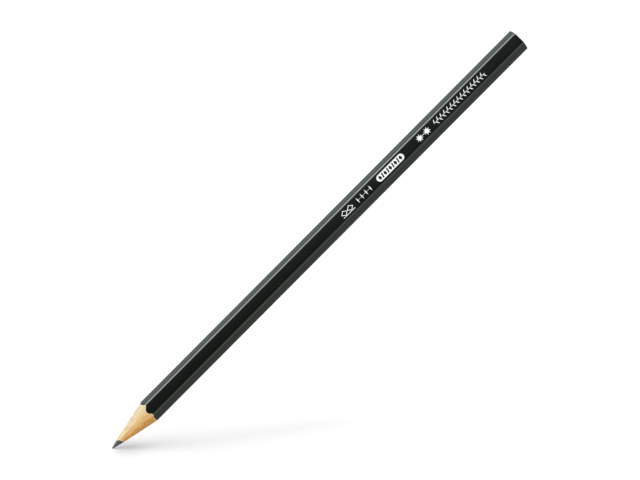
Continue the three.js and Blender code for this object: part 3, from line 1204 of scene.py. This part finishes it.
floor_normal = view_up * math.cos(FLOOR_TILT) + to_camera * math.sin(FLOOR_TILT)
floor_depth = floor_normal.cross(view_right).normalized()
tip_point = Vector((TIP, CONE_AT[0], AXIS_Z + CONE_AT[1])) * MM
lowest = tip_point - floor_normal * (TIP_R * MM * 0.35)
# painted shadow under the pencil's point, where it meets the tip floor
tip_painted_shadow = dict(
    centre=lowest + view_right * 3.6 * MM + floor_depth * 0.4 * MM,
    axes=(view_right, floor_depth),
    radii=(6.2, 12.0),
    depth=0.2,
    starts=(-4.2, -2.2),
)
# painted shadow further off, strengthening the far soft shadow
far_painted_shadow = dict(
    centre=lowest + view_right * 54.0 * MM + floor_depth * 27.4 * MM,
    axes=(
        view_right * math.cos(PLUME) + view_up * math.sin(PLUME),
        view_up * math.cos(PLUME) - view_right * math.sin(PLUME),
    ),
    radii=(27.0, 2.3),
    depth=0.06,
)
tip_floor = plane("tip_floor", lowest, view_right, floor_depth)
tip_floor.data.materials.append(
    floor_material("pale_tip_floor", on_sight=True, tone=0.925, painted_shadows=[tip_painted_shadow, far_painted_shadow])
)

# ---- light ----
# Stops are (degrees round the pencil's axis, brightness, tint):
# 0 in front (-Y), 90 overhead, 180 behind, -90 below.
COOL = (0.92, 1.0, 1.01)
NEUTRAL = (0.93, 1.04, 0.93)
DEEP = (0.90, 1.10, 0.86)
WHITE = (1, 1, 1)
CAMERA_STRENGTH = 1.02
GLOSS_PEAK = 10.0
DIFFUSE_PEAK = 1.5
# What the glossy surfaces reflect.
GLOSS_STOPS = [
    (-180, 0.90, COOL), (-150, 0.72, COOL), (-120, 0.52, NEUTRAL), (-90, 0.465, NEUTRAL),
    (-80, 0.465, NEUTRAL), (-66, 0.57, NEUTRAL), (-52, 0.86, NEUTRAL), (-40, 1.23, NEUTRAL),
    (-30, 1.60, NEUTRAL), (-20, 1.42, NEUTRAL), (-10, 0.60, NEUTRAL), (2, 0.14, NEUTRAL),
    (14, 0.015, DEEP), (27, 0.03, DEEP), (33, 0.11, DEEP), (38, 0.19, NEUTRAL),
    (46, 0.19, COOL), (70, 0.20, COOL), (80, 0.60, COOL), (88, 3.5, COOL),
    (94, 10.0, COOL), (108, 10.0, COOL), (114, 5.0, COOL), (122, 1.9, COOL),
    (134, 1.05, COOL), (154, 0.94, COOL), (179.9, 0.90, COOL),
]
# What lights the matt surfaces.
DIFFUSE_STOPS = [
    (-180, 1.00, WHITE), (-135, 0.70, WHITE), (-90, 0.55, WHITE), (-45, 0.68, WHITE),
    (0, 0.95, WHITE), (45, 1.22, WHITE), (90, 1.34, WHITE), (135, 1.25, WHITE),
    (179.9, 1.00, WHITE),
]
# Beyond the pencil's two ends it is dim, so that the facets stay black when seen lengthwise.
END_STOPS = [
    (-180, 0.05, NEUTRAL), (-90, 0.04, NEUTRAL), (-20, 0.07, NEUTRAL), (30, 0.05, NEUTRAL),
    (62, 0.08, COOL), (90, 0.22, COOL), (118, 0.09, COOL), (150, 0.06, COOL),
    (179.9, 0.05, NEUTRAL),
]
END_SPAN = (0.76, 0.96)  # how lengthwise a direction is where the dim ends fade in


def build_world():
    world = bpy.data.worlds.new("soft_studio")
    bpy.context.scene.world = world
    world.use_nodes = True
    net = Net(world.node_tree)
    ray = net.split(net.node("ShaderNodeTexCoord").outputs["Generated"])
    angle = net.calc("ARCTAN2", ray["Z"], net.calc("MULTIPLY", ray["Y"], -1.0))
    position = net.calc("MULTIPLY_ADD", angle, 1 / TURN, 0.5)

    def surround(stops, peak):
        scaled = [
            ((degrees + 180) / 360, tuple(bright * part / peak for part in tint))
            for degrees, bright, tint in stops
        ]
        return net.ramp(position, scaled)

    def background(colour, strength):
        made = net.node("ShaderNodeBackground")
        net.put(made.inputs["Color"], colour)
        made.inputs["Strength"].default_value = strength
        return made.outputs[0]

    gloss = surround(GLOSS_STOPS, GLOSS_PEAK)
    diffuse = surround(DIFFUSE_STOPS, DIFFUSE_PEAK)
    ends = surround(END_STOPS, GLOSS_PEAK)
    lengthwise = net.remap(net.calc("ABSOLUTE", ray["X"]), span=END_SPAN)
    lengthwise = net.calc("MINIMUM", net.calc("MAXIMUM", lengthwise, 0.0), 1.0)
    gloss = net.mix(lengthwise, gloss, ends)
    path = net.node("ShaderNodeLightPath").outputs
    lit = net.mix_shader(
        path["Is Glossy Ray"], background(diffuse, DIFFUSE_PEAK), background(gloss, GLOSS_PEAK)
    )
    plain = background((*WHITE, 1), CAMERA_STRENGTH)
    out = net.node("ShaderNodeOutputWorld")
    net.put(out.inputs["Surface"], net.mix_shader(path["Is Camera Ray"], lit, plain))
    world.cycles.sampling_method = "NONE"


build_world()

view = bpy.context.scene.view_settings
view.view_transform = "Standard"
view.look = "None"
view.exposure = 0.0
view.gamma = 1.0
